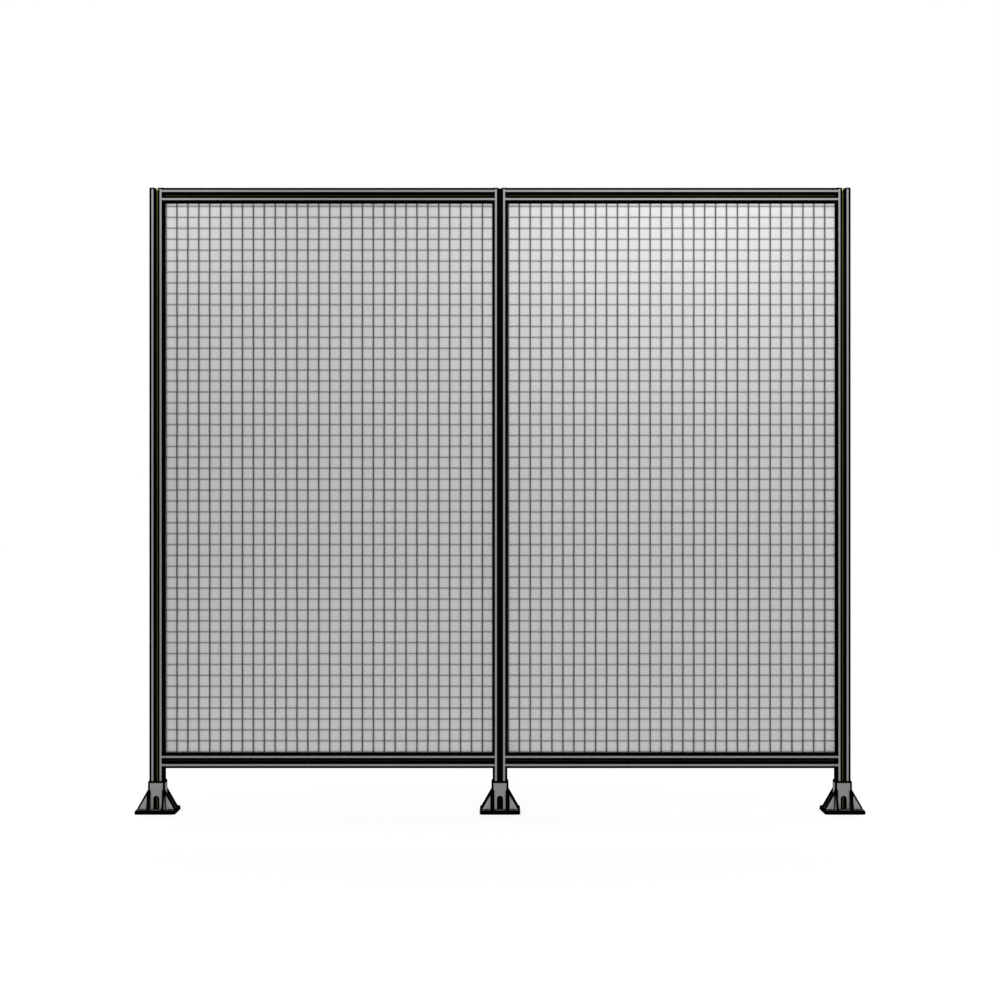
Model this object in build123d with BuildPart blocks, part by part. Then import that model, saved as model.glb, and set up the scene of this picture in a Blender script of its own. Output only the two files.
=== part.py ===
"""Mesh guard fence: two bays of crimped wire mesh held in slotted aluminium profiles.

Three posts stand in cast feet. Rails butt between the posts, and each bay holds a wire mesh
with a thin tinted sheet behind it, edged with a rubber strip that sits in the slots.
Millimetres, +Z up. X runs along the fence, and the seen side looks towards -Y.
The origin is on the floor, at the centre of the middle foot.
"""

import math
import os

from build123d import *

# Layout of the fence
FENCE_HEIGHT = 1902.0
RAIL_LENGTH = 1000.0
BOTTOM_RAIL_UNDERSIDE = 135.0

# Slotted profile, the same for posts and rails
PROFILE = 45.0
PROFILE_CORNER = 5.0
SLOT_MOUTH = 10.0
MOUTH_CHAMFER = 2.0
LIP_THICKNESS = 4.5
CAVITY_WIDTH = 20.0
CAVITY_STRAIGHT = 5.0
SLOT_DEPTH = 14.5
CORE_BORE = 10.0
CHAMBER = 6.5
CHAMBER_CENTRE = 16.2

# Rail ends: how far their wedge lips reach over the posts' rounded corners
COPE_REACH = 2.8

# Narrow strip that lies on the floor of each open slot
STRIP_WIDTH = 3.0
STRIP_THICKNESS = 0.8

# Cast foot
FOOT_SIZE = 123.0
FOOT_CORNER = 12.0
FOOT_HEIGHT = 97.0
FLANGE_THICKNESS = 12.0
FLANGE_BEVEL = 3.0
SOCKET_WALL = 3.5
SOCKET_CLEARANCE = 0.2
SOCKET_CORNER = 4.0
SOCKET_BEVEL_DEPTH = 4.5
SOCKET_BEVEL_WIDTH = 2.0
RIB_THICKNESS = 6.5
RIB_TOP = 70.0
RIB_REACH = 58.0
RIB_TOE = 2.0
BOLT_SPACING = 84.0
BOLT_HOLE = 11.0
WALL_SLOT_WIDTH = 14.0
WALL_SLOT_TOP = 50.0

# Wire mesh: uprights lie in front of the crosswires
WIRE = 3.0
WIRE_SIDES = 6
MESH_PITCH = 33.3
UPRIGHT_COUNT = 31
CROSSWIRE_COUNT = 51
FIRST_UPRIGHT = 3.1
TOP_CROSSWIRE_DROP = 9.0
MESH_FRONT = -4.0

# Tinted sheet behind the mesh, and how deep both reach into the slots
SHEET_THICKNESS = 2.0
PANEL_BITE = 9.0

# Rubber edging: two legs in the slot, joined at the bottom, with a wider head outside it
EDGING_WIDTH = 9.8
EDGING_GAP = 8.0
EDGING_HEAD_WIDTH = 16.0
EDGING_HEAD = 1.5
EDGING_DEPTH = 11.0
EDGING_FLOOR = 1.5

# Places worked out from the driving dimensions
POST_PITCH = RAIL_LENGTH + PROFILE
HALF = PROFILE / 2
TOP_RAIL_AXIS = FENCE_HEIGHT - HALF
BOTTOM_RAIL_AXIS = BOTTOM_RAIL_UNDERSIDE + HALF
OPENING_BOTTOM = BOTTOM_RAIL_UNDERSIDE + PROFILE
OPENING_TOP = FENCE_HEIGHT - PROFILE
OPENING_HEIGHT = OPENING_TOP - OPENING_BOTTOM
POST_LENGTH = FENCE_HEIGHT - FLANGE_THICKNESS
FLOOR_LEVEL = HALF - SLOT_DEPTH

POSTS = {"left": -POST_PITCH, "middle": 0.0, "right": POST_PITCH}
BAYS = {"left": -POST_PITCH, "right": 0.0}
RAILS = {"top": TOP_RAIL_AXIS, "bottom": BOTTOM_RAIL_AXIS}


def write(piece, name):
    """Labels a finished piece and writes it as one STEP file."""
    piece.label = name
    export_step(piece, f"parts/{name}.step")


def slotted_section(plane):
    """The profile's section on a plane: a rounded square with four T slots and five bores."""
    lip = HALF - LIP_THICKNESS
    mouth = SLOT_MOUTH / 2
    cavity = CAVITY_WIDTH / 2
    slope = lip - CAVITY_STRAIGHT
    floor_half = cavity - (slope - FLOOR_LEVEL)
    half_slot = [
        (0, HALF),
        (mouth + MOUTH_CHAMFER, HALF),
        (mouth, HALF - MOUTH_CHAMFER),
        (mouth, lip),
        (cavity, lip),
        (cavity, slope),
        (floor_half, FLOOR_LEVEL),
        (0, FLOOR_LEVEL),
    ]
    with BuildSketch(plane) as section:
        RectangleRounded(PROFILE, PROFILE, PROFILE_CORNER)
        with BuildSketch(mode=Mode.PRIVATE) as slot:
            with BuildLine():
                Polyline(half_slot, close=True)
            make_face()
            mirror(about=Plane.YZ)
        with PolarLocations(0, 4):
            add(slot.sketch, mode=Mode.SUBTRACT)
        Circle(CORE_BORE / 2, mode=Mode.SUBTRACT)
        with GridLocations(2 * CHAMBER_CENTRE, 2 * CHAMBER_CENTRE, 2, 2):
            Rectangle(CHAMBER, CHAMBER, mode=Mode.SUBTRACT)
    return section.sketch


def slotted_profile(plane, length):
    """A length of slotted profile, extruded from a plane along its normal."""
    with BuildPart() as profile:
        extrude(slotted_section(plane), amount=length)
    return profile.part


def coped_rail(bay, z):
    """A rail. Its ends are milled so that wedge lips reach over the posts' rounded corners."""
    start = (bay + HALF - COPE_REACH, 0, z)
    end = Plane(start, x_dir=(0, 0, -1), z_dir=(1, 0, 0))
    with BuildPart() as rail:
        extrude(slotted_section(end), amount=RAIL_LENGTH + 2 * COPE_REACH)
        with BuildSketch(Plane((bay + POST_PITCH / 2, 0, z - HALF))) as posts:
            with GridLocations(POST_PITCH, 0, 2, 1):
                Rectangle(PROFILE, PROFILE)
            chamfer(posts.vertices(), COPE_REACH)
        extrude(amount=PROFILE, mode=Mode.SUBTRACT)
    return rail.part


def slot_strips(plane, length, turns):
    """The floor strips of one profile. Each turn names a slot, in quarter turns about the axis."""
    with BuildPart() as strips:
        with BuildSketch(plane):
            for turn in turns:
                with Locations(Location((0, 0, 0), (0, 0, 90 * turn))):
                    with Locations((0, FLOOR_LEVEL + STRIP_THICKNESS / 2)):
                        Rectangle(STRIP_WIDTH, STRIP_THICKNESS)
        extrude(amount=length)
    return strips.part


def cast_foot(x):
    """A cast foot: bevelled flange, socket, two ribs to each side, wall slots and bolt holes."""
    socket = PROFILE + 2 * SOCKET_WALL
    pocket = PROFILE + 2 * SOCKET_CLEARANCE
    rib_root = socket / 2 - SOCKET_CORNER
    rib_offset = (socket - RIB_THICKNESS) / 2
    wall_middle = (socket + pocket) / 4
    straight_top = FOOT_HEIGHT - SOCKET_BEVEL_DEPTH
    bevel_angle = math.degrees(math.atan(SOCKET_BEVEL_WIDTH / SOCKET_BEVEL_DEPTH))
    with BuildPart() as foot:
        with BuildSketch(Plane((x, 0, 0))):
            RectangleRounded(FOOT_SIZE, FOOT_SIZE, FOOT_CORNER)
        extrude(amount=FLANGE_THICKNESS - FLANGE_BEVEL)
        with BuildSketch(Plane((x, 0, FLANGE_THICKNESS - FLANGE_BEVEL))):
            RectangleRounded(FOOT_SIZE, FOOT_SIZE, FOOT_CORNER)
        extrude(amount=FLANGE_BEVEL, taper=45)
        with BuildSketch(Plane((x, 0, FLANGE_THICKNESS))):
            RectangleRounded(socket, socket, SOCKET_CORNER)
        extrude(amount=straight_top - FLANGE_THICKNESS)
        with BuildSketch(Plane((x, 0, straight_top))):
            RectangleRounded(socket, socket, SOCKET_CORNER)
        extrude(amount=SOCKET_BEVEL_DEPTH, taper=bevel_angle)
        for turn in range(4):
            side = Plane((x, 0, 0)).rotated((0, 0, 90 * turn))
            rib_plane = Plane(side.origin, x_dir=side.x_dir, z_dir=-side.y_dir)
            for offset in (-rib_offset, rib_offset):
                with BuildSketch(rib_plane.offset(offset)):
                    with BuildLine():
                        Polyline(
                            (rib_root, FLANGE_THICKNESS / 2),
                            (RIB_REACH, FLANGE_THICKNESS / 2),
                            (RIB_REACH, FLANGE_THICKNESS + RIB_TOE),
                            (socket / 2, RIB_TOP),
                            (rib_root, RIB_TOP),
                            close=True,
                        )
                    make_face()
                extrude(amount=RIB_THICKNESS / 2, both=True)
        with BuildSketch(Plane((x, 0, FLANGE_THICKNESS))):
            Rectangle(pocket, pocket)
        extrude(amount=FOOT_HEIGHT - FLANGE_THICKNESS, mode=Mode.SUBTRACT)
        for turn in range(4):
            side = Plane((x, 0, 0)).rotated((0, 0, 90 * turn))
            wall = Plane(side.origin, x_dir=side.y_dir, z_dir=side.x_dir).offset(wall_middle)
            with BuildSketch(wall):
                with Locations((0, FLANGE_THICKNESS)):
                    Rectangle(
                        WALL_SLOT_WIDTH,
                        WALL_SLOT_TOP - FLANGE_THICKNESS - WALL_SLOT_WIDTH / 2,
                        align=(Align.CENTER, Align.MIN),
                    )
                with Locations((0, WALL_SLOT_TOP - WALL_SLOT_WIDTH / 2)):
                    Circle(WALL_SLOT_WIDTH / 2)
            extrude(amount=SOCKET_WALL, both=True, mode=Mode.SUBTRACT)
        with BuildSketch(Plane((x, 0, 0))):
            with GridLocations(BOLT_SPACING, BOLT_SPACING, 2, 2):
                Circle(BOLT_HOLE / 2)
        extrude(amount=FLANGE_THICKNESS, mode=Mode.SUBTRACT)
    return foot.part


def mesh_uprights(bay):
    """The upright wires of one bay, side by side and clear of each other."""
    first = bay + HALF + FIRST_UPRIGHT
    middle = first + MESH_PITCH * (UPRIGHT_COUNT - 1) / 2
    foot_of_wires = Plane((middle, MESH_FRONT + WIRE / 2, OPENING_BOTTOM - PANEL_BITE))
    with BuildPart() as uprights:
        with BuildSketch(foot_of_wires):
            with GridLocations(MESH_PITCH, 0, UPRIGHT_COUNT, 1):
                RegularPolygon(WIRE / 2, WIRE_SIDES, major_radius=False)
        extrude(amount=OPENING_HEIGHT + 2 * PANEL_BITE)
    return uprights.part


def mesh_crosswires(bay):
    """The crosswires of one bay. They lie against the backs of the uprights."""
    highest = OPENING_TOP - TOP_CROSSWIRE_DROP
    middle = highest - MESH_PITCH * (CROSSWIRE_COUNT - 1) / 2
    start = (bay + HALF - PANEL_BITE, MESH_FRONT + 3 * WIRE / 2, middle)
    end_of_wires = Plane(start, x_dir=(0, 0, 1), z_dir=(1, 0, 0))
    with BuildPart() as crosswires:
        with BuildSketch(end_of_wires):
            with GridLocations(MESH_PITCH, 0, CROSSWIRE_COUNT, 1):
                RegularPolygon(WIRE / 2, WIRE_SIDES, major_radius=False)
        extrude(amount=RAIL_LENGTH + 2 * PANEL_BITE)
    return crosswires.part


def tinted_sheet(bay):
    """The thin sheet of one bay, flat against the backs of the crosswires."""
    front = MESH_FRONT + 2 * WIRE
    middle = (bay + POST_PITCH / 2, front, OPENING_BOTTOM + OPENING_HEIGHT / 2)
    with BuildPart() as sheet:
        with BuildSketch(Plane(middle, x_dir=(1, 0, 0), z_dir=(0, 1, 0))):
            Rectangle(RAIL_LENGTH + 2 * PANEL_BITE, OPENING_HEIGHT + 2 * PANEL_BITE)
        extrude(amount=SHEET_THICKNESS)
    return sheet.part


def edging(plane, length):
    """A rubber edging strip. The plane's X runs into the slot, and its Y across the slot."""
    legs = EDGING_WIDTH / 2
    gap = EDGING_GAP / 2
    head = EDGING_HEAD_WIDTH / 2
    half_section = [
        (-EDGING_HEAD, gap),
        (-EDGING_HEAD, head - 1),
        (1 - EDGING_HEAD, head),
        (0, head),
        (0, MOUTH_CHAMFER + SLOT_MOUTH / 2),
        (MOUTH_CHAMFER, legs),
        (EDGING_DEPTH, legs),
        (EDGING_DEPTH, 0),
        (EDGING_DEPTH - EDGING_FLOOR, 0),
        (EDGING_DEPTH - EDGING_FLOOR, gap),
    ]
    with BuildPart() as strip:
        with BuildSketch(plane):
            with BuildLine():
                Polyline(half_section, close=True)
            make_face()
            mirror(about=Plane.XZ)
        extrude(amount=length)
    return strip.part


def build_posts():
    """Posts, their slot strips and their feet."""
    open_slots = {"left": (0, 1, 2), "middle": (0, 2), "right": (0, 2, 3)}
    for side, x in POSTS.items():
        base = Plane((x, 0, FLANGE_THICKNESS))
        write(slotted_profile(base, POST_LENGTH), f"{side}_post")
        write(slot_strips(base, POST_LENGTH, open_slots[side]), f"{side}_post_slot_strips")
        write(cast_foot(x), f"{side}_foot")


def build_rails():
    """Top and bottom rails of each bay, and their slot strips."""
    open_slots = {"top": (0, 1, 2), "bottom": (0, 2, 3)}
    for side, bay in BAYS.items():
        for level, z in RAILS.items():
            end = Plane((bay + HALF, 0, z), x_dir=(0, 0, -1), z_dir=(1, 0, 0))
            write(coped_rail(bay, z), f"{side}_{level}_rail")
            strips = slot_strips(end, RAIL_LENGTH, open_slots[level])
            write(strips, f"{side}_{level}_rail_slot_strips")


def build_panels():
    """Mesh, sheet and edging of each bay."""
    for side, bay in BAYS.items():
        write(mesh_uprights(bay), f"{side}_mesh_uprights")
        write(mesh_crosswires(bay), f"{side}_mesh_crosswires")
        write(tinted_sheet(bay), f"{side}_sheet")
        near = bay + HALF
        far = near + RAIL_LENGTH
        along = near + EDGING_HEAD
        run = RAIL_LENGTH - 2 * EDGING_HEAD
        strips = {
            "left": (Plane((near, 0, OPENING_BOTTOM), (-1, 0, 0), (0, 0, 1)), OPENING_HEIGHT),
            "right": (Plane((far, 0, OPENING_BOTTOM), (1, 0, 0), (0, 0, 1)), OPENING_HEIGHT),
            "top": (Plane((along, 0, OPENING_TOP), (0, 0, 1), (1, 0, 0)), run),
            "bottom": (Plane((along, 0, OPENING_BOTTOM), (0, 0, -1), (1, 0, 0)), run),
        }
        for edge, (plane, length) in strips.items():
            write(edging(plane, length), f"{side}_bay_{edge}_edging")


os.makedirs("parts", exist_ok=True)
build_posts()
build_rails()
build_panels()
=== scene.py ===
"""Looks of the mesh guard fence: wire mesh, satin profiles, cast feet and a soft studio light.

Metres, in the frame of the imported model: X along the fence, Y through it, Z up.
"""

import math
import random
from collections import namedtuple

import bpy
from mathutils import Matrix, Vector


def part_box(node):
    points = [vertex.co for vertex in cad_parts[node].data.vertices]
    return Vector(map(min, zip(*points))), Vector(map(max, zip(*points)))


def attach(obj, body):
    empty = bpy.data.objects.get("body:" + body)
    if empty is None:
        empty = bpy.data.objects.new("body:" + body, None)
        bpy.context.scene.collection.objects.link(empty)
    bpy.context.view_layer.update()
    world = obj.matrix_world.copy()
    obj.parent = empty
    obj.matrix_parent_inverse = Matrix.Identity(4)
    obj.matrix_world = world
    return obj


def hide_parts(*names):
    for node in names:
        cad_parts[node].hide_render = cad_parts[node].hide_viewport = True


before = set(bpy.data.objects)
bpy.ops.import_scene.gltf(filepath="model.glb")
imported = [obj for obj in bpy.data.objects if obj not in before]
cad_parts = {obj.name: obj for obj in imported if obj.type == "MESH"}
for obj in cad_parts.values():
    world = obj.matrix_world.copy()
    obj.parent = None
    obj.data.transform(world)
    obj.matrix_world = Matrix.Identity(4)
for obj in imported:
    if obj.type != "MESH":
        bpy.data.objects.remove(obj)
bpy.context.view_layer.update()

BAYS = ("left", "right")
POSTS = ("left", "middle", "right")
LEVELS = ("top", "bottom")
X, Y, Z = range(3)

# Camera: level, straight at the middle post, half way up the fence
CAMERA_DISTANCE = 6.1
CAMERA_HEIGHT = 0.9516
VIEW_HALF_WIDTH = 1.521
VIEW_END = 100.0
SENSOR = 36.0

# Lamps that face the fence: place, size and power
LAMPS = {
    "right_lamp": ((0.62, -0.9, 2.0), (1.2, 0.3), 7.35),
    "left_lamp": ((-1.1, -0.62, 2.0), (0.25, 0.25), 1.7),
    "low_lamp": ((0.0, -0.72, 0.16), (3.4, 0.15), 1.9),
}

# Floor: its glow only makes it look as white as the room, and doesn't light the fence
FLOOR_REACH = 30.0
FLOOR_GREY = 0.8
FLOOR_ROUGHNESS = 0.9
FLOOR_GLOW = 1.15
FLOOR_GLOW_SHARE = 0.65

# Grain of a material: the scale and detail of its noise, how much of the noise counts to each
# side of its middle, and the roughness at the two ends of that
Grain = namedtuple("Grain", "scale detail spread smooth rough")
PROFILE_GRAIN = Grain(900.0, 2.0, 0.3, 0.52, 0.6)
CAST_GRAIN = Grain(700.0, 4.0, 0.2, 0.5, 0.62)
WIRE_GRAIN = Grain(180.0, 3.0, 0.2, 0.45, 0.6)
SHEET_GRAIN = Grain(3.0, 2.0, 0.3, 0.41, 0.43)
RUBBER_GRAIN = Grain(900.0, 2.0, 0.2, 0.6, 0.8)

# The greys of a material from spot to spot, as shares of its own grey
PROFILE_SPOTS = (0.94, 1.06)
CAST_SPOTS = (0.92, 1.04)
WIRE_SPOTS = (0.75, 1.25)
RUBBER_SPOTS = (1.0, 2.0)

# Aluminium: how bright its faces are, and how much of them counts as metal
METAL = 0.235
METAL_SHARE = 0.35

# Brushing on the profiles, drawn out along them, and blasting on the feet: how strong and how
# high their relief is. The feet have larger, soft clouds too, of this scale and detail
BRUSHED_STRETCH = 0.02
BRUSHED_RELIEF = (0.05, 0.0002)
BLASTED_RELIEF = (0.25, 0.0004)
CAST_CLOUD = (25.0, 3.0)

# Black parts of the profiles, feet and rubber. Only the sheets and wires have a gloss
BLACK = 0.001
NO_GLOSS = 0.0

# How straight a face looks one way to count as facing it, and how far up or down to count as
# slanted
FACING = 0.7
SLANTED = 0.2
SLANTED_SOFTNESS = 0.05

# Bands across a profile's face, measured from its middle line. The slot and corner bands are
# painted shade
SLOT_SHADE_BAND = 0.0096
CORNER_SHADE_BAND = 0.0153
BAND_SOFTNESS = 0.0003
TOP_BAND = 0.0045

# Slot strips: their yellow, the painted shade that sets how bright they are down in the slots,
# and the painted light on a stretch at the outer posts' tops
STRIP_YELLOW = (1.0, 1.0, 0.3)
STRIP_PALE_YELLOW = (1.1, 1.1, 0.35)
STRIP_PAINTED_LIGHT_YELLOW = (1.0, 1.0, 0.25)
STRIP_CLOUD = (60.0, 2.0)
STRIP_ROUGHNESS = 0.6
POST_STRIP_PAINTED_SHADE = {"left": 0.08, "middle": 0.006, "right": 0.08}
RAIL_STRIP_PAINTED_SHADE = {"top": 0.026, "bottom": 0.013}
STRIP_PAINTED_LIGHT_FROM = 0.0055
STRIP_PAINTED_LIGHT_TO = 0.002

# Feet: black rim, rib edges and borders, with grey faces between them
FLANGE_TOP = 0.012
FLANGE_GREY = 0.25
RIM_BOTTOM = 0.0905
SOCKET_HALF = 0.026
SOCKET_LINE = 0.0065
RIB_ROOT_LINE = 0.0035
RIB_ROOT_REACH = 0.0092
RIB_LINE = 0.0055
RIB_TOP = 0.070
RIB_TOE = 0.014
RIB_REACH = 0.058
RIB_MIDDLE = 0.02275
RIB_HALF = 0.00325
RIB_BORDER = 0.00575
# Painted shade: how much darker the ribs' sides that look at each other are
RIB_INSIDE_PAINTED_SHADE = 0.9
FLANGE_BORDER = 0.0545
BOLT_PLACE = 0.042
BOLT_BORDER = 0.0085
WALL_SLOT_BORDER = 0.0095
WALL_SLOT_ARC = 0.043

# Feet: how high the painted light against the shade between the ribs reaches, and how much
# paler it paints them at its bottom
FOOT_PAINTED_LIGHT_TOP = 0.07
FOOT_PAINTED_LIGHT = 0.6

# Wire mesh: round wires with a little sideways drift, which turns once a cell
MESH_PITCH = 0.0333
WIRE_RADIUS = 0.0015
WIRE_SIDES = 8
STEPS_PER_CELL = 5
SPARE_KNOTS = 3
WIRE_DRIFT = 0.0005
# Both kinds of wire are one galvanised wire: the uprights' grey holds painted shade and the
# crosswires' grey painted light
UPRIGHT_SHADED_GREY = 0.055
CROSSWIRE_LIT_GREY = 0.25
WIRE_METAL_SHARE = 0.3
WIRE_GLOSS = 0.2
SEED = 7

# Sheet: its tint, how clear it is, how far the painted shadow beside each wire reaches and what
# is left of the tint there, and how much paler the painted light makes it in the shade of the
# frame
SMOKE = 0.541
SMOKE_HAZE = 0.008
SHEET_ALPHA = 0.85
SHEET_GLOSS = 0.25
WIRE_SHADOW_REACH = 0.005
UPRIGHT_SHADOW_LEVEL = 0.55
CROSSWIRE_SHADOW_LEVEL = 0.72
FRAME_LIGHT_REACH = 0.05
FRAME_PAINTED_LIGHT = 0.135


class Graph:
    """A material's node tree, with short calls for the nodes that the finishes share.

    A mask is 1 where it holds and 0 elsewhere.
    """

    def __init__(self, name):
        self.material = bpy.data.materials.new(name)
        self.material.use_nodes = True
        self.tree = self.material.node_tree
        self.shader = self.tree.nodes["Principled BSDF"]

    def add(self, kind, **settings):
        node = self.tree.nodes.new(kind)
        for key, value in settings.items():
            setattr(node, key, value)
        return node

    def link(self, output, socket):
        self.tree.links.new(output, socket)

    def feed(self, socket, value):
        """Sets a socket to a number or colour, or links it to another node's output."""
        if isinstance(value, bpy.types.NodeSocket):
            self.link(value, socket)
        else:
            socket.default_value = value

    def shade(self, name, value):
        """Feeds one of the shader's own sockets."""
        self.feed(self.shader.inputs[name], value)

    def maths(self, operation, a, b=0.0):
        node = self.add("ShaderNodeMath", operation=operation)
        self.feed(node.inputs[0], a)
        self.feed(node.inputs[1], b)
        return node.outputs[0]

    def plus(self, a, b):
        return self.maths("ADD", a, b)

    def minus(self, a, b):
        return self.maths("SUBTRACT", a, b)

    def size(self, value):
        return self.maths("ABSOLUTE", value)

    def distance(self, value, middle):
        return self.size(self.minus(value, middle))

    def length(self, a, b):
        return self.maths("SQRT", self.plus(self.both(a, a), self.both(b, b)))

    def both(self, a, b):
        return self.maths("MULTIPLY", a, b)

    def either(self, a, b):
        return self.maths("MAXIMUM", a, b)

    def lesser(self, a, b):
        return self.maths("MINIMUM", a, b)

    def unless(self, mask):
        return self.minus(1.0, mask)

    def without(self, value, mask):
        return self.both(value, self.unless(mask))

    def ramp(self, value, low, high, start=0.0, end=1.0):
        """Maps value from low..high to start..end, held at both ends."""
        node = self.add("ShaderNodeMapRange", interpolation_type="SMOOTHSTEP")
        self.feed(node.inputs["Value"], value)
        node.inputs["From Min"].default_value = low
        node.inputs["From Max"].default_value = high
        node.inputs["To Min"].default_value = start
        node.inputs["To Max"].default_value = end
        return node.outputs[0]

    def step(self, value, edge, softness=BAND_SOFTNESS):
        """The mask of values above the edge."""
        return self.ramp(value, edge - softness, edge + softness)

    def band(self, value, low, high):
        """The mask of values in low..high."""
        return self.without(self.step(value, low), self.step(value, high))

    def inside(self, value, low, high):
        """How far value is inside low..high, from the nearer end."""
        return self.minus((high - low) / 2, self.distance(value, (low + high) / 2))

    def mix(self, factor, a, b):
        node = self.add("ShaderNodeMix", data_type="RGBA")
        self.feed(node.inputs["Factor"], factor)
        self.feed(node.inputs["A"], a)
        self.feed(node.inputs["B"], b)
        return node.outputs["Result"]

    def spots(self, factor, level, ends):
        """A grey that runs between two shares of level as factor runs from 0 to 1."""
        dark, light = ends
        return self.plus(self.both(factor, level * (light - dark)), level * dark)

    def axes(self, vector):
        node = self.add("ShaderNodeSeparateXYZ")
        self.link(vector, node.inputs[0])
        return node.outputs

    def place(self):
        """The point's place in the object's own frame, which is the fence's frame."""
        return self.axes(self.add("ShaderNodeTexCoord").outputs["Object"])

    def normal(self):
        """The way that the surface looks, in the same frame."""
        return self.axes(self.add("ShaderNodeTexCoord").outputs["Normal"])

    def noise(self, scale, detail, stretch=(1.0, 1.0, 1.0)):
        """Noise over the object's own frame, drawn out where stretch is below 1."""
        coordinates = self.add("ShaderNodeTexCoord")
        mapping = self.add("ShaderNodeMapping")
        mapping.inputs["Scale"].default_value = stretch
        self.link(coordinates.outputs["Object"], mapping.inputs["Vector"])
        node = self.add("ShaderNodeTexNoise")
        node.inputs["Scale"].default_value = scale
        node.inputs["Detail"].default_value = detail
        self.link(mapping.outputs["Vector"], node.inputs["Vector"])
        return node.outputs["Fac"]

    def grain(self, kind, stretch=(1.0, 1.0, 1.0)):
        """The noise of a material's grain, which gives the material its roughness too."""
        noise = self.noise(kind.scale, kind.detail, stretch)
        ends = (0.5 - kind.spread, 0.5 + kind.spread)
        self.shade("Roughness", self.ramp(noise, *ends, kind.smooth, kind.rough))
        return noise

    def relief(self, height, strength, distance):
        node = self.add("ShaderNodeBump")
        node.inputs["Strength"].default_value = strength
        node.inputs["Distance"].default_value = distance
        self.link(height, node.inputs["Height"])
        self.shade("Normal", node.outputs["Normal"])


def tint(level, colour):
    return tuple(level * part for part in colour) + (1.0,)


def grey(level):
    return tint(level, (1.0, 1.0, 1.0))


def profile_finish_and_painted_shade(name, node, along, inward, joints=()):
    """Satin anodised aluminium for a post or rail, with painted shade: black slots and corner
    bands.

    along is the axis that the profile runs on. inward gives the axis and the way that its faces
    look into the bays, where they are painted black as shade. joints lists the height of each
    rail that meets the profile and the side that it comes from: there the rail's bands run on
    over the corner, in place of the corner's painted shade.
    """
    graph = Graph(name)
    centre = centre_of(node)
    place = graph.place()
    normal = graph.normal()
    across = [graph.distance(place[axis], centre[axis]) for axis in (X, Y, Z) if axis != along]
    off_middle = graph.lesser(*across)
    # Painted shade: black bands along the rounded corners
    corner = graph.step(off_middle, CORNER_SHADE_BAND)
    for height, side in joints:
        rail_face = graph.band(graph.distance(place[Z], height), SLOT_SHADE_BAND, CORNER_SHADE_BAND)
        on_side = graph.step(graph.both(graph.minus(place[X], centre.x), side), 0.0)
        corner = graph.without(corner, graph.both(rail_face, on_side))
    # Painted shade: black over the slots
    face = graph.without(graph.step(off_middle, SLOT_SHADE_BAND), corner)
    if along == Z:
        face = graph.without(face, graph.step(place[Z], top_of(node) - TOP_BAND))
    # Painted shade: black on the faces that look into the bays
    for axis, way in inward:
        face = graph.without(face, graph.step(graph.both(normal[axis], way), FACING))
    cut_end = graph.step(graph.size(normal[along]), FACING)
    face = graph.either(face, cut_end)
    stretch = tuple(BRUSHED_STRETCH if axis == along else 1.0 for axis in (X, Y, Z))
    grain = graph.grain(PROFILE_GRAIN, stretch)
    metal = graph.spots(grain, METAL, PROFILE_SPOTS)
    graph.shade("Base Color", graph.mix(face, grey(BLACK), metal))
    graph.shade("Metallic", graph.both(face, METAL_SHARE))
    graph.shade("Specular IOR Level", NO_GLOSS)
    graph.relief(grain, *BRUSHED_RELIEF)
    return graph.material


def strip_finish_and_painted_light(name, level, top=None):
    """Yellow plastic, with painted shade. level is how bright it is painted down in its slot.

    top is the height of a strip's upper end, where a short stretch under a black tip has painted
    light.
    """
    graph = Graph(name)
    # Painted shade: the yellow is darkened to level, as down in a slot
    ends = tint(level, STRIP_YELLOW), tint(level, STRIP_PALE_YELLOW)
    colour = graph.mix(graph.noise(*STRIP_CLOUD), *ends)
    if top is not None:
        height = graph.place()[Z]
        # Painted light on a short stretch under the black tip
        painted_top_light = tint(1.0, STRIP_PAINTED_LIGHT_YELLOW)
        colour = graph.mix(graph.step(height, top - STRIP_PAINTED_LIGHT_FROM), colour, painted_top_light)
        colour = graph.mix(graph.step(height, top - STRIP_PAINTED_LIGHT_TO), colour, grey(BLACK))
    graph.shade("Base Color", colour)
    graph.shade("Roughness", STRIP_ROUGHNESS)
    graph.shade("Specular IOR Level", NO_GLOSS)
    return graph.material


def foot_lines(graph, out, along, height, off_socket):
    """The mask of the black bands along a foot's edges."""
    # Along the socket's corners, running on over the roots of the ribs
    corner = graph.step(along, SOCKET_HALF - SOCKET_LINE)
    root = graph.step(along, SOCKET_HALF - RIB_ROOT_REACH)
    root = graph.without(root, graph.step(height, RIB_TOP))
    line = graph.without(graph.either(corner, root), off_socket)
    # Along the sloping edges of the ribs, and all of their narrow sloping faces
    run, fall = RIB_REACH - SOCKET_HALF, RIB_TOP - RIB_TOE
    slope = math.hypot(run, fall)
    outward = graph.both(graph.minus(out, SOCKET_HALF), fall / slope)
    upward = graph.both(graph.minus(height, RIB_TOP), run / slope)
    near_slope = graph.step(graph.plus(outward, upward), -RIB_LINE)
    on_rib = graph.step(out, SOCKET_HALF + BAND_SOFTNESS)
    line = graph.either(line, graph.both(near_slope, on_rib))
    slanted = graph.step(graph.size(graph.normal()[Z]), SLANTED, SLANTED_SOFTNESS)
    line = graph.either(line, slanted)
    # Round the slot in each wall of the socket
    above = graph.either(graph.minus(height, WALL_SLOT_ARC), 0.0)
    off_slot = graph.step(graph.length(along, above), WALL_SLOT_BORDER)
    return graph.either(line, graph.without(graph.unless(off_slot), off_socket))


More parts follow.
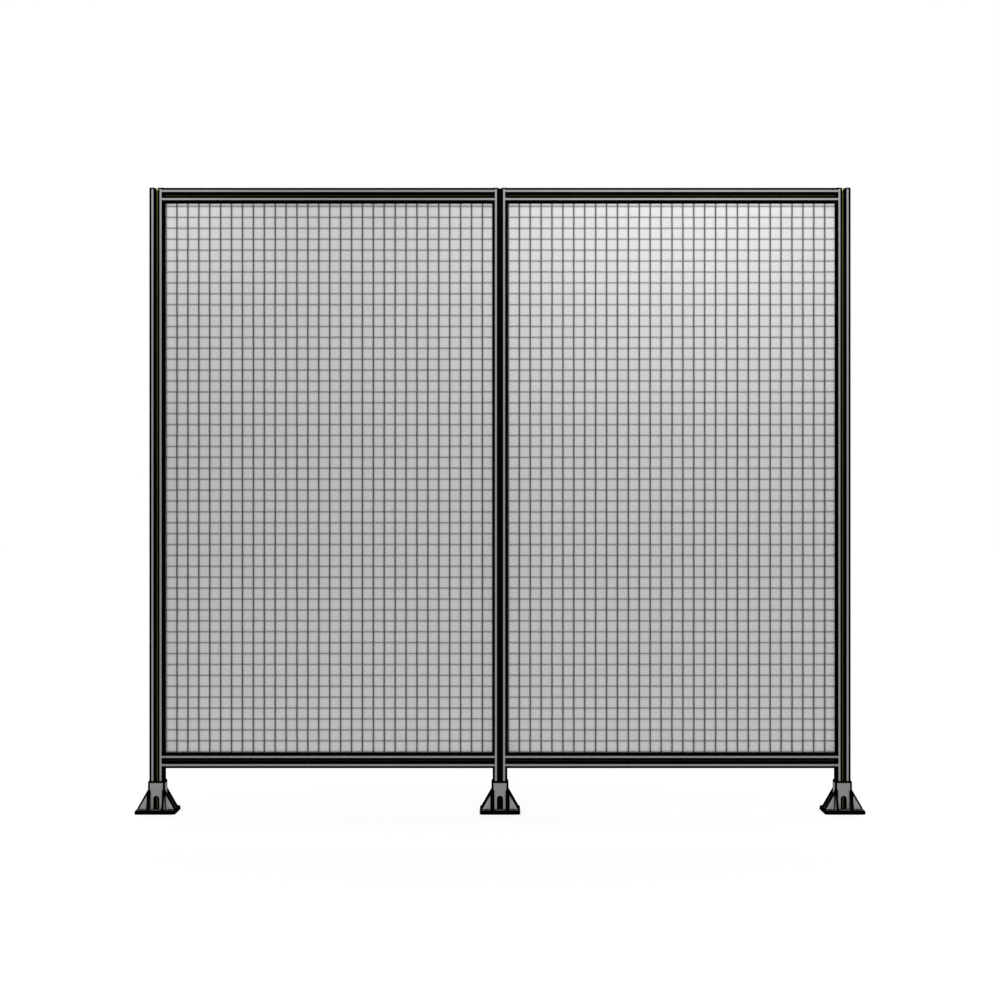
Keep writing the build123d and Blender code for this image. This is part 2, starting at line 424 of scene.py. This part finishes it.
def flange_face(graph, out, along, height, off_socket):
    """The mask of the flange's top, less its borders at the rim, the bolts and the ribs."""
    face = graph.without(off_socket, graph.step(out, FLANGE_BORDER))
    face = graph.both(face, graph.step(graph.distance(along, RIB_MIDDLE), RIB_BORDER))
    off_bolt = graph.length(graph.distance(along, BOLT_PLACE), graph.distance(out, BOLT_PLACE))
    face = graph.both(face, graph.step(off_bolt, BOLT_BORDER))
    level = graph.band(height, FLANGE_TOP - BAND_SOFTNESS, FLANGE_TOP + BAND_SOFTNESS)
    return graph.both(face, level)


def foot_finish_and_painted_light(name, centre):
    """Bead-blasted aluminium casting with black edges, flange and socket rim, painted shade on
    the ribs' inner sides and painted light towards its bottom.

    out is how far a point is from the foot's axis towards the side that it belongs to, and
    along is how far it is from the middle of that side.
    """
    graph = Graph(name)
    place = graph.place()
    height = place[Z]
    reaches = [graph.distance(place[axis], centre[axis]) for axis in (X, Y)]
    out = graph.either(*reaches)
    along = graph.lesser(*reaches)
    off_socket = graph.step(out, SOCKET_HALF + RIB_ROOT_LINE)
    body = graph.band(height, FLANGE_TOP + BAND_SOFTNESS, RIM_BOTTOM)
    face = graph.without(body, foot_lines(graph, out, along, height, off_socket))
    # Painted shade: the ribs' sides that look at each other are deeper grey
    off_inner_side = graph.distance(along, RIB_MIDDLE - RIB_HALF)
    rib_inside = graph.both(
        graph.unless(graph.step(off_inner_side, 2 * BAND_SOFTNESS)),
        graph.step(out, SOCKET_HALF + 2 * BAND_SOFTNESS),
    )
    face = graph.without(face, graph.both(rib_inside, RIB_INSIDE_PAINTED_SHADE))
    flange = flange_face(graph, out, along, height, off_socket)
    face = graph.either(face, graph.both(flange, FLANGE_GREY))
    metal = graph.spots(graph.noise(*CAST_CLOUD), METAL, CAST_SPOTS)
    # Painted light: paler towards the bottom, against the shade between the ribs
    painted_foot_light = graph.ramp(height, FLANGE_TOP, FOOT_PAINTED_LIGHT_TOP, 1.0 + FOOT_PAINTED_LIGHT, 1.0)
    graph.shade("Base Color", graph.mix(face, grey(BLACK), graph.both(metal, painted_foot_light)))
    graph.shade("Metallic", graph.both(face, METAL_SHARE))
    graph.shade("Specular IOR Level", NO_GLOSS)
    graph.relief(graph.grain(CAST_GRAIN), *BLASTED_RELIEF)
    return graph.material


def wire_finish(name, level):
    """Galvanised wire, dull, faintly mottled. level paints shade on uprights, light on
    crosswires.
    """
    graph = Graph(name)
    graph.shade("Base Color", graph.spots(graph.grain(WIRE_GRAIN), level, WIRE_SPOTS))
    graph.shade("Metallic", WIRE_METAL_SHARE)
    graph.shade("Specular IOR Level", WIRE_GLOSS)
    return graph.material


def sheet_finish_and_painted_light(bay):
    """Smoke tinted plastic sheet, barely clear, with a soft sheen, painted shadow beside the
    wires and painted light near the frame.
    """
    graph = Graph(f"{bay}_smoke_sheet_and_painted_light")
    place = graph.place()
    level = graph.plus(graph.both(graph.grain(SHEET_GRAIN), SMOKE_HAZE), SMOKE)
    # Painted shadow: the tint is darker beside each wire
    for axis, kind, shadow_level in (
        (X, "uprights", UPRIGHT_SHADOW_LEVEL),
        (Z, "crosswires", CROSSWIRE_SHADOW_LEVEL),
    ):
        first_line = wire_lines(f"{bay}_mesh_{kind}", axis)[0]
        off_wire = graph.maths("PINGPONG", graph.minus(place[axis], first_line), MESH_PITCH / 2)
        level = graph.both(level, graph.ramp(off_wire, WIRE_RADIUS, WIRE_SHADOW_REACH, shadow_level, 1.0))
    # Painted light: the sheet is paler near the frame, where the frame's shade falls
    edges = ("left", "right", "bottom", "top")
    left, right, bottom, top = (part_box(f"{bay}_bay_{edge}_edging") for edge in edges)
    off_frame = graph.lesser(
        graph.inside(place[X], left[1].x, right[0].x),
        graph.inside(place[Z], bottom[1].z, top[0].z),
    )
    level = graph.both(level, graph.ramp(off_frame, 0.0, FRAME_LIGHT_REACH, 1.0 + FRAME_PAINTED_LIGHT, 1.0))
    graph.shade("Base Color", level)
    graph.shade("Alpha", SHEET_ALPHA)
    graph.shade("Specular IOR Level", SHEET_GLOSS)
    return graph.material


def rubber_finish():
    """Black rubber."""
    graph = Graph("black_rubber")
    graph.shade("Base Color", graph.spots(graph.grain(RUBBER_GRAIN), BLACK, RUBBER_SPOTS))
    graph.shade("Specular IOR Level", NO_GLOSS)
    return graph.material


def dress(node, material):
    """Puts a finish on a CAD node that stays in view."""
    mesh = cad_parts[node].data
    mesh.materials.clear()
    mesh.materials.append(material)


def centre_of(node):
    low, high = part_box(node)
    return (low + high) / 2


def top_of(node):
    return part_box(node)[1].z


def tube(vertices, faces, points, across):
    """Adds a closed tube along points.

    across gives the two directions of its rings, whose cross product points along the tube, so
    that the faces look outward.
    """
    first, second = across
    start = len(vertices)
    for point in points:
        for side in range(WIRE_SIDES):
            turn = 2 * math.pi * (side + 0.5) / WIRE_SIDES
            ring = first * math.cos(turn) + second * math.sin(turn)
            vertices.append(point + ring * WIRE_RADIUS)
    for step in range(len(points) - 1):
        for side in range(WIRE_SIDES):
            a = start + step * WIRE_SIDES + side
            b = start + step * WIRE_SIDES + (side + 1) % WIRE_SIDES
            faces.append((a, b, b + WIRE_SIDES, a + WIRE_SIDES))
    faces.append(tuple(reversed(range(start, start + WIRE_SIDES))))
    end = start + (len(points) - 1) * WIRE_SIDES
    faces.append(tuple(range(end, end + WIRE_SIDES)))


def wire_lines(node, axis):
    """Where the wires of a node lie across their length, read from the node's box."""
    low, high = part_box(node)
    count = round((high[axis] - low[axis]) / MESH_PITCH)
    middle = (low[axis] + high[axis]) / 2
    return [middle + MESH_PITCH * (i - count / 2) for i in range(count + 1)]


def drifting_wires(name, node, along, rng):
    """The wires of one direction, each with a little sideways drift from knot to knot."""
    low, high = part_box(node)
    depth = centre_of(node).y
    other = X if along == Z else Z
    run = Vector((0, 0, 0))
    run[along] = 1.0
    through = Vector((0, 1, 0))
    length = high[along] - low[along]
    cells = length / MESH_PITCH
    steps = round(cells * STEPS_PER_CELL)
    vertices, faces = [], []
    for line in wire_lines(node, other):
        knots = [rng.uniform(-WIRE_DRIFT, WIRE_DRIFT) for _ in range(int(cells) + SPARE_KNOTS)]
        points = []
        for step in range(steps + 1):
            point = Vector((0, depth, 0))
            reach = low[along] + length * step / steps
            knot, part = divmod((reach - low[along]) / MESH_PITCH, 1.0)
            blend = (1 - math.cos(math.pi * part)) / 2
            drift = knots[int(knot)] * (1 - blend) + knots[int(knot) + 1] * blend
            point[along] = reach
            point[other] = line + drift
            points.append(point)
        tube(vertices, faces, points, (through.cross(run), through))
    mesh = bpy.data.meshes.new(name)
    mesh.from_pydata(vertices, [], faces)
    mesh.polygons.foreach_set("use_smooth", [len(f) == 4 for f in faces])
    mesh.update()
    piece = bpy.data.objects.new(name, mesh)
    bpy.context.scene.collection.objects.link(piece)
    return piece


def make_camera():
    data = bpy.data.cameras.new("camera")
    data.sensor_width = SENSOR
    data.lens = SENSOR / 2 * CAMERA_DISTANCE / VIEW_HALF_WIDTH
    data.clip_end = VIEW_END
    camera = bpy.data.objects.new("camera", data)
    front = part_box("middle_post")[0].y
    camera.location = (0, front - CAMERA_DISTANCE, CAMERA_HEIGHT)
    camera.rotation_euler = (math.pi / 2, 0, 0)
    bpy.context.scene.collection.objects.link(camera)
    bpy.context.scene.camera = camera


def make_lamp(name, place, size, power):
    """A lamp that faces the fence. It throws no shadow and isn't seen itself."""
    data = bpy.data.lights.new(name, "AREA")
    data.shape = "RECTANGLE"
    data.size, data.size_y = size
    data.energy = power
    data.use_shadow = False
    lamp = bpy.data.objects.new(name, data)
    lamp.location = place
    lamp.rotation_euler = (math.pi / 2, 0, 0)
    lamp.visible_camera = False
    bpy.context.scene.collection.objects.link(lamp)


def make_world():
    """A plain white room, which lights the fence evenly from all round."""
    world = bpy.data.worlds.new("studio")
    world.use_nodes = True
    background = world.node_tree.nodes["Background"]
    background.inputs["Color"].default_value = grey(1.0)
    background.inputs["Strength"].default_value = 1.0
    bpy.context.scene.world = world


def make_floor():
    """A white floor. The camera sees it lifted to white, and the shadow of the fence stays."""
    mesh = bpy.data.meshes.new("floor")
    ways = ((-1, -1), (1, -1), (1, 1), (-1, 1))
    corners = [(x * FLOOR_REACH, y * FLOOR_REACH, 0) for x, y in ways]
    mesh.from_pydata(corners, [], [(0, 1, 2, 3)])
    floor = bpy.data.objects.new("floor", mesh)
    bpy.context.scene.collection.objects.link(floor)
    graph = Graph("white_floor")
    graph.shade("Roughness", FLOOR_ROUGHNESS)
    graph.shade("Base Color", grey(FLOOR_GREY))
    glow = graph.add("ShaderNodeEmission")
    glow.inputs["Color"].default_value = grey(1.0)
    glow.inputs["Strength"].default_value = FLOOR_GLOW
    ray = graph.add("ShaderNodeLightPath").outputs
    seen = graph.either(ray["Is Camera Ray"], ray["Is Glossy Ray"])
    seen = graph.either(seen, ray["Is Transmission Ray"])
    blend = graph.add("ShaderNodeMixShader")
    graph.link(graph.both(seen, FLOOR_GLOW_SHARE), blend.inputs["Fac"])
    graph.link(graph.shader.outputs[0], blend.inputs[1])
    graph.link(glow.outputs[0], blend.inputs[2])
    graph.link(blend.outputs[0], graph.tree.nodes["Material Output"].inputs["Surface"])
    mesh.materials.append(graph.material)


def dress_frame():
    heights = [centre_of(f"left_{level}_rail").z for level in LEVELS]
    # Which way the bays lie from each post
    ways = {"left": (1,), "middle": (-1, 1), "right": (-1,)}
    for side in POSTS:
        post = f"{side}_post"
        inward = [(X, way) for way in ways[side]]
        joints = [(height, way) for height in heights for way in ways[side]]
        # The posts' and rails' materials hold painted shade in their black slots, corners and
        # bay-facing faces
        dress(post, profile_finish_and_painted_shade(f"{post}_finish", post, Z, inward, joints))
        dress(f"{side}_foot", foot_finish_and_painted_light(f"{side}_cast_aluminium_and_painted_light", centre_of(post)))
        top = top_of(post) if side != "middle" else None
        # The strips' levels are painted shade, with painted light at the outer posts' tops
        strip = strip_finish_and_painted_light(f"{side}_strip_plastic_and_painted_light", POST_STRIP_PAINTED_SHADE[side], top)
        dress(f"{post}_slot_strips", strip)
    for level in LEVELS:
        inward = [(Z, -1 if level == "top" else 1)]
        finish = profile_finish_and_painted_shade(f"{level}_rail_finish_and_painted_shade", f"left_{level}_rail", X, inward)
        strip = strip_finish_and_painted_light(f"{level}_strip_plastic_and_painted_light", RAIL_STRIP_PAINTED_SHADE[level])
        for bay in BAYS:
            dress(f"{bay}_{level}_rail", finish)
            dress(f"{bay}_{level}_rail_slot_strips", strip)


def dress_bays():
    rng = random.Random(SEED)
    rubber = rubber_finish()
    wires = {
        # Painted shade on the uprights and painted light on the crosswires
        "uprights": (Z, wire_finish("shaded_upright_wire", UPRIGHT_SHADED_GREY)),
        "crosswires": (X, wire_finish("lit_cross_wire", CROSSWIRE_LIT_GREY)),
    }
    for bay in BAYS:
        dress(f"{bay}_sheet", sheet_finish_and_painted_light(bay))
        for edge in ("left", "right", "top", "bottom"):
            dress(f"{bay}_bay_{edge}_edging", rubber)
        for kind, (along, finish) in wires.items():
            piece = drifting_wires(f"{bay}_wire_{kind}", f"{bay}_mesh_{kind}", along, rng)
            piece.data.materials.append(finish)
            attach(piece, "root")
            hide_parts(f"{bay}_mesh_{kind}")


make_camera()
make_world()
make_floor()
for lamp_name, settings in LAMPS.items():
    make_lamp(lamp_name, *settings)
dress_frame()
dress_bays()

bpy.context.scene.view_settings.view_transform = "Standard"
